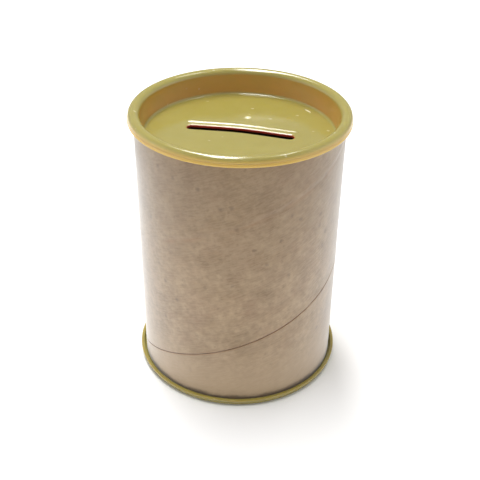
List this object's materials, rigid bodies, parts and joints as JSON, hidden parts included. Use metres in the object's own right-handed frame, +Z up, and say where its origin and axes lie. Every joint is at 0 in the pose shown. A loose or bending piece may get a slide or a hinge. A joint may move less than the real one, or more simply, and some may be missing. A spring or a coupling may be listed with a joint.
{
  "type": "cardboard tube money box",
  "caption": "Round cardboard-tube money box: spiral-wound kraft tube with a pull-off slotted plastic cap in the top and a plain plug cap in the bottom.",
  "frame": {"origin": "centre of the circle the box stands on, at the lowest face of the bottom cap's rim", "axes": "+Z up along the tube's axis, X along the coin slot"},
  "size_m": [0.076, 0.076, 0.1003],
  "materials": {
    "outer_kraft": "matte",
    "core_kraft": "matte",
    "inner_kraft": "matte",
    "cap_plastic": "gloss"
  },
  "bodies": {
    "bottom_cap": {"bottom_cap": "cap_plastic"},
    "tube": {"outer_ply": "outer_kraft", "middle_ply": "core_kraft", "inner_ply": "inner_kraft"},
    "top_cap": {"top_cap": "cap_plastic"}
  },
  "joints": [
    {"name": "tube_lift", "type": "slide", "parent": "bottom_cap", "child": "tube", "axis": [0, 0, 1], "range_m": [0, 0.03]},
    {"name": "top_cap_lift", "type": "slide", "parent": "tube", "child": "top_cap", "axis": [0, 0, 1], "range_m": [0, 0.03]}
  ]
}
